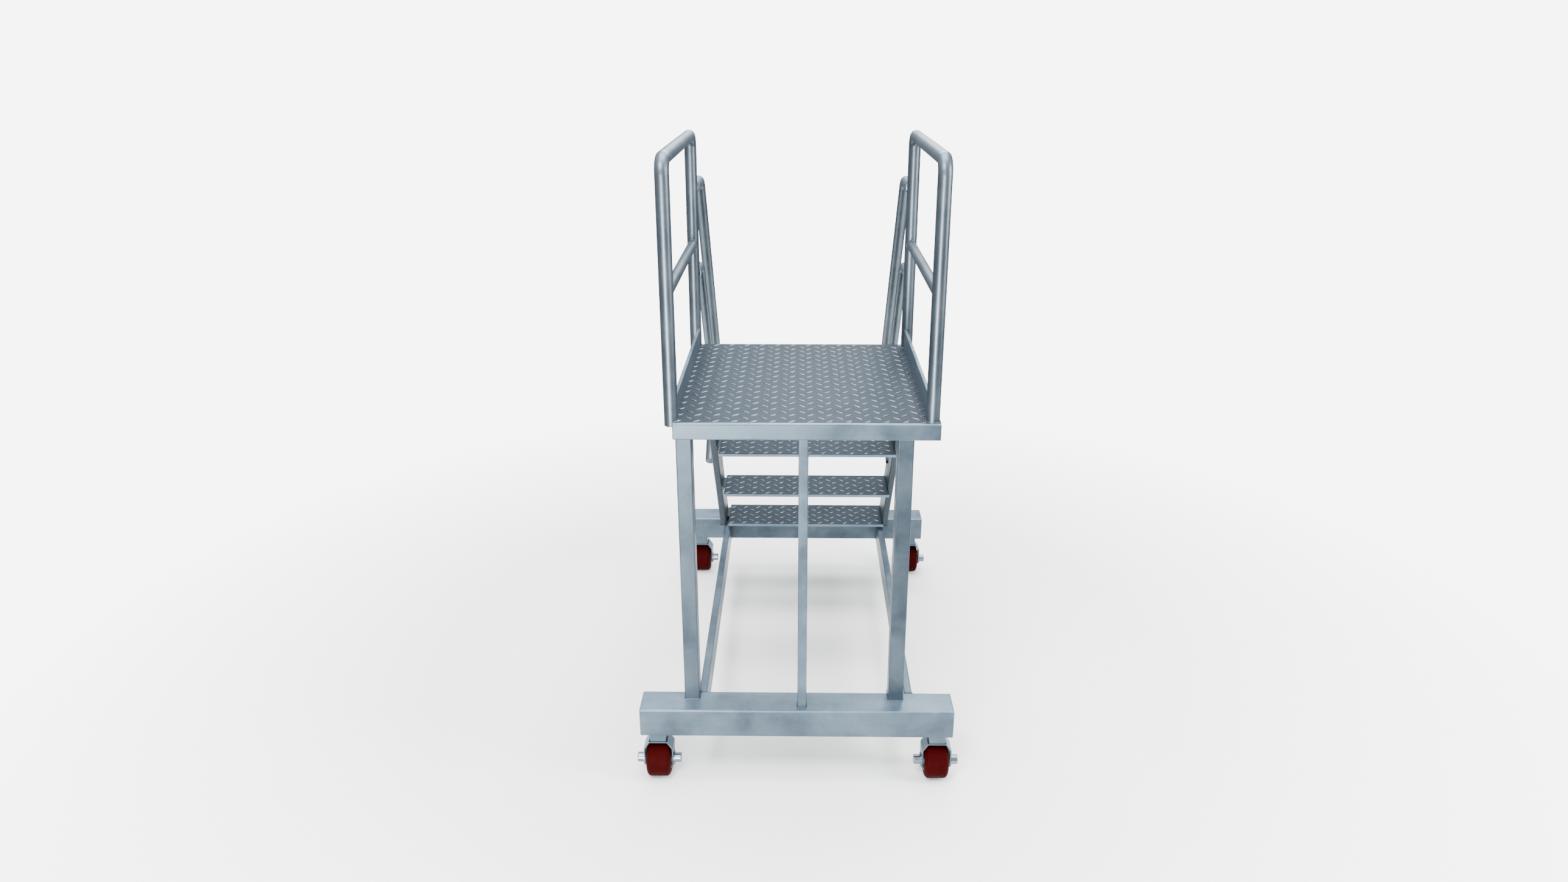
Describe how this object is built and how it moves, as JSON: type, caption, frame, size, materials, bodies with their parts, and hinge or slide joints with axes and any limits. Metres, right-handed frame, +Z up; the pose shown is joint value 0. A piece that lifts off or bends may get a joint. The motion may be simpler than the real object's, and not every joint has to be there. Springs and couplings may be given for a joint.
{
  "type": "rolling warehouse ladder",
  "caption": "Wheeled steel base with a raised chequer-plate platform, tubular guard rails, toe boards, and a steep stair with its own rails at the back.",
  "frame": {"origin": "on the floor, at the middle of the overall footprint", "axes": "+Z up; the stair is at +Y and the platform's open edge at -Y; +X is to the right seen from the platform's front edge"},
  "size_m": [1.153, 1.694, 2.0931],
  "materials": {
    "base_steel": "galvanised, softly mottled",
    "tube_steel": "galvanised tube, satin",
    "chequer_plate": "galvanised chequer plate",
    "stringer_steel": "galvanised, darker",
    "caster_steel": "zinc plated, dull",
    "fasteners": "zinc plated",
    "wheel_core": "cast",
    "wheel_tread": "smooth dark red"
  },
  "bodies": {
    "frame": {"base_rail_left": "base_steel", "base_rail_right": "base_steel", "beam_end_caps": "base_steel", "centre_strut": "base_steel", "deck_plate": "chequer_plate", "front_beam": "base_steel", "front_left_mount_block": "caster_steel", "front_right_mount_block": "caster_steel", "platform_bearer_left": "base_steel", "platform_bearer_right": "base_steel", "platform_end_caps": "base_steel", "platform_handrail_left": "tube_steel", "platform_handrail_right": "tube_steel", "platform_mid_rail_left": "tube_steel", "platform_mid_rail_right": "tube_steel", "platform_rear_member": "base_steel", "platform_rim": "base_steel", "post_left": "base_steel", "post_right": "base_steel", "rear_beam": "base_steel", "rear_left_mount_block": "caster_steel", "rear_right_mount_block": "caster_steel", "stair_handrail_left": "tube_steel", "stair_handrail_right": "tube_steel", "stair_mid_rail_left": "tube_steel", "stair_mid_rail_right": "tube_steel", "stringer_left": "stringer_steel", "stringer_right": "stringer_steel", "toe_board_left": "base_steel", "toe_board_right": "base_steel", "tread_1": "chequer_plate", "tread_2": "chequer_plate", "tread_3": "chequer_plate", "tread_4": "chequer_plate", "tread_bolts": "fasteners", "tread_cleats": "stringer_steel"},
    "front_left_swivel": {"front_left_fork": "caster_steel", "front_left_king_pin": "fasteners", "front_left_axle": "fasteners", "front_left_axle_nuts": "fasteners"},
    "front_left_wheel": {"front_left_wheel_core": "wheel_core", "front_left_tyre": "wheel_tread"},
    "front_right_swivel": {"front_right_fork": "caster_steel", "front_right_king_pin": "fasteners", "front_right_axle": "fasteners", "front_right_axle_nuts": "fasteners"},
    "front_right_wheel": {"front_right_wheel_core": "wheel_core", "front_right_tyre": "wheel_tread"},
    "rear_left_swivel": {"rear_left_fork": "caster_steel", "rear_left_king_pin": "fasteners", "rear_left_axle": "fasteners", "rear_left_axle_nuts": "fasteners"},
    "rear_left_wheel": {"rear_left_wheel_core": "wheel_core", "rear_left_tyre": "wheel_tread"},
    "rear_right_swivel": {"rear_right_fork": "caster_steel", "rear_right_king_pin": "fasteners", "rear_right_axle": "fasteners", "rear_right_axle_nuts": "fasteners"},
    "rear_right_wheel": {"rear_right_wheel_core": "wheel_core", "rear_right_tyre": "wheel_tread"}
  },
  "joints": [
    {"name": "front_left_swivel_turn", "type": "hinge", "parent": "frame", "child": "front_left_swivel", "pos_m": [-0.501, -0.78462, 0.1445], "axis": [0, 0, 1], "continuous": true},
    {"name": "front_left_wheel_roll", "type": "hinge", "parent": "front_left_swivel", "child": "front_left_wheel", "pos_m": [-0.501, -0.78462, 0.0625], "axis": [1, 0, 0], "continuous": true},
    {"name": "front_right_swivel_turn", "type": "hinge", "parent": "frame", "child": "front_right_swivel", "pos_m": [0.449, -0.78462, 0.1445], "axis": [0, 0, 1], "continuous": true},
    {"name": "front_right_wheel_roll", "type": "hinge", "parent": "front_right_swivel", "child": "front_right_wheel", "pos_m": [0.449, -0.78462, 0.0625], "axis": [1, 0, 0], "continuous": true},
    {"name": "rear_left_swivel_turn", "type": "hinge", "parent": "frame", "child": "rear_left_swivel", "pos_m": [-0.483, 0.74738, 0.1445], "axis": [0, 0, 1], "continuous": true},
    {"name": "rear_left_wheel_roll", "type": "hinge", "parent": "rear_left_swivel", "child": "rear_left_wheel", "pos_m": [-0.483, 0.74738, 0.0625], "axis": [1, 0, 0], "continuous": true},
    {"name": "rear_right_swivel_turn", "type": "hinge", "parent": "frame", "child": "rear_right_swivel", "pos_m": [0.501, 0.74738, 0.1445], "axis": [0, 0, 1], "continuous": true},
    {"name": "rear_right_wheel_roll", "type": "hinge", "parent": "rear_right_swivel", "child": "rear_right_wheel", "pos_m": [0.501, 0.74738, 0.0625], "axis": [1, 0, 0], "continuous": true}
  ]
}
